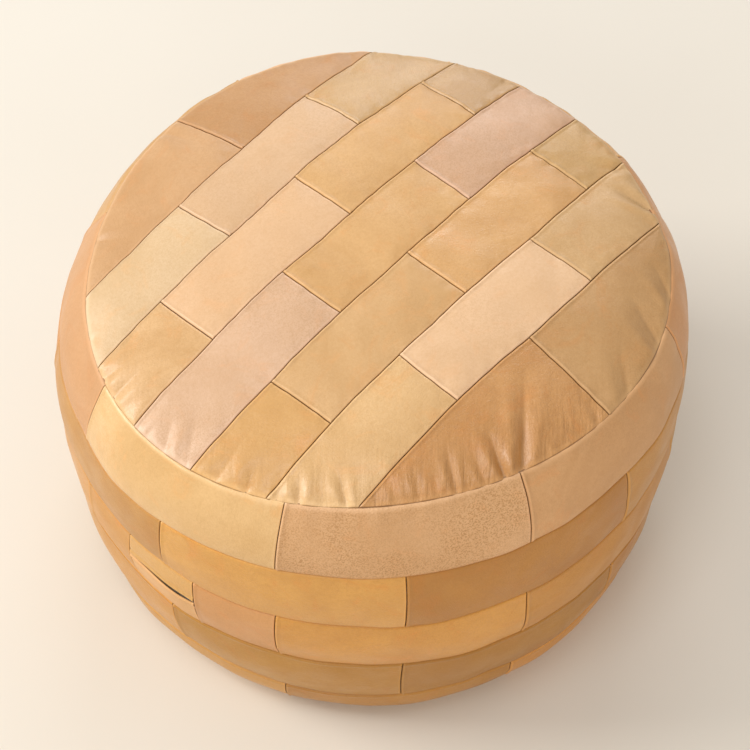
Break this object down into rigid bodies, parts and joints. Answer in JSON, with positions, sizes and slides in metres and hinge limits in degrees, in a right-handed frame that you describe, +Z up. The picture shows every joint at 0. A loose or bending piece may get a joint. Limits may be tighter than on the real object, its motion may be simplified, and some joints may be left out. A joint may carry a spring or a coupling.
{
  "type": "leather pouf",
  "caption": "Round low floor pouf or footstool in a sewn patchwork leather cover, with soft filling and a hidden zip under a small flap.",
  "frame": {"origin": "centre of the base, on the floor", "axes": "+Z up through the middle of the lid; the placket faces the front left, between -X and -Y, and the lid's strips run at 48.25 degrees from +X towards +Y"},
  "size_m": [0.6058, 0.6058, 0.3963],
  "materials": {
    "leather_tan": "semi-gloss tan leather, faint mottling",
    "leather_cream": "semi-gloss pale yellow leather",
    "leather_peach": "satin pale peach leather, faint grain",
    "leather_olive": "satin olive-yellow leather",
    "leather_gold": "glossy golden leather with darker patches",
    "leather_honey": "satin honey-tan leather",
    "leather_mauve": "satin pink-beige leather with pebbled grain",
    "leather_khaki": "satin olive-brown leather",
    "leather_amber": "glossy orange-brown creased leather",
    "leather_umber": "satin brown leather",
    "zip_tape": "woven brown tape",
    "zip_brass": "brushed brass",
    "wadding": "soft white cotton wadding",
    "liner_cotton": "undyed cotton cloth",
    "filling": "loose cotton filling"
  },
  "bodies": {
    "cover": {"lid_strip1_patch1": "leather_tan", "lid_strip1_patch2": "leather_tan", "lid_strip2_patch1": "leather_cream", "lid_strip2_patch2": "leather_peach", "lid_strip2_patch3": "leather_olive", "lid_strip3_patch1": "leather_gold", "lid_strip3_patch2": "leather_peach", "lid_strip3_patch3": "leather_honey", "lid_strip3_patch4": "leather_olive", "lid_strip4_patch1": "leather_mauve", "lid_strip4_patch2": "leather_honey", "lid_strip4_patch3": "leather_mauve", "lid_strip5_patch1": "leather_gold", "lid_strip5_patch2": "leather_honey", "lid_strip5_patch3": "leather_gold", "lid_strip5_patch4": "leather_khaki", "lid_strip6_patch1": "leather_olive", "lid_strip6_patch2": "leather_peach", "lid_strip6_patch3": "leather_khaki", "lid_strip7_patch1": "leather_amber", "lid_strip7_patch2": "leather_umber", "course1_patch1": "leather_mauve", "course1_patch2": "leather_honey", "course1_patch3": "leather_tan", "course1_patch4": "leather_gold", "course1_patch5": "leather_peach", "course1_patch6": "leather_khaki", "course1_patch7": "leather_peach", "course1_patch8": "leather_gold", "course2_patch1": "leather_umber", "course2_patch2": "leather_khaki", "course2_patch3": "leather_gold", "course2_patch4": "leather_honey", "course2_patch5": "leather_khaki", "course2_patch6": "leather_tan", "course2_patch7": "leather_khaki", "course2_patch8": "leather_gold", "course3_patch1": "leather_gold", "course3_patch2": "leather_honey", "course3_patch3": "leather_khaki", "course3_patch4": "leather_gold", "course3_patch5": "leather_tan", "course3_patch6": "leather_honey", "course3_patch7": "leather_gold", "placket_side_left": "leather_honey", "placket_side_right": "leather_mauve", "placket_facing": "leather_peach", "course4_ring": "leather_khaki", "course5_ring": "leather_umber", "base_panel": "leather_umber", "zip_guard": "leather_umber", "zip_tape_upper": "zip_tape", "zip_tape_lower": "zip_tape", "zip_coil": "zip_brass", "wadding": "wadding", "liner_bag": "liner_cotton", "filling": "filling"},
    "flap": {"placket_flap": "leather_gold"},
    "slider": {"zip_slider": "zip_brass"},
    "puller": {"zip_puller": "zip_brass"}
  },
  "joints": [
    {"name": "flap_lift", "type": "hinge", "parent": "cover", "child": "flap", "pos_m": [-0.19476, -0.23006, 0.21218], "axis": [-0.7632, 0.6461, 0], "range_deg": [0, 60]},
    {"name": "slider_travel", "type": "hinge", "parent": "cover", "child": "slider", "pos_m": [0, 0, 0.18736], "axis": [0, 0, 1], "range_deg": [-9.7, 0]},
    {"name": "puller_swing", "type": "hinge", "parent": "slider", "child": "puller", "pos_m": [-0.178, -0.23665, 0.18736], "axis": [0, 0, -1], "range_deg": [0, 72]}
  ],
  "couplings": [
    {"joint": "puller_swing", "follows": "flap_lift", "ratio": 1.2}
  ]
}
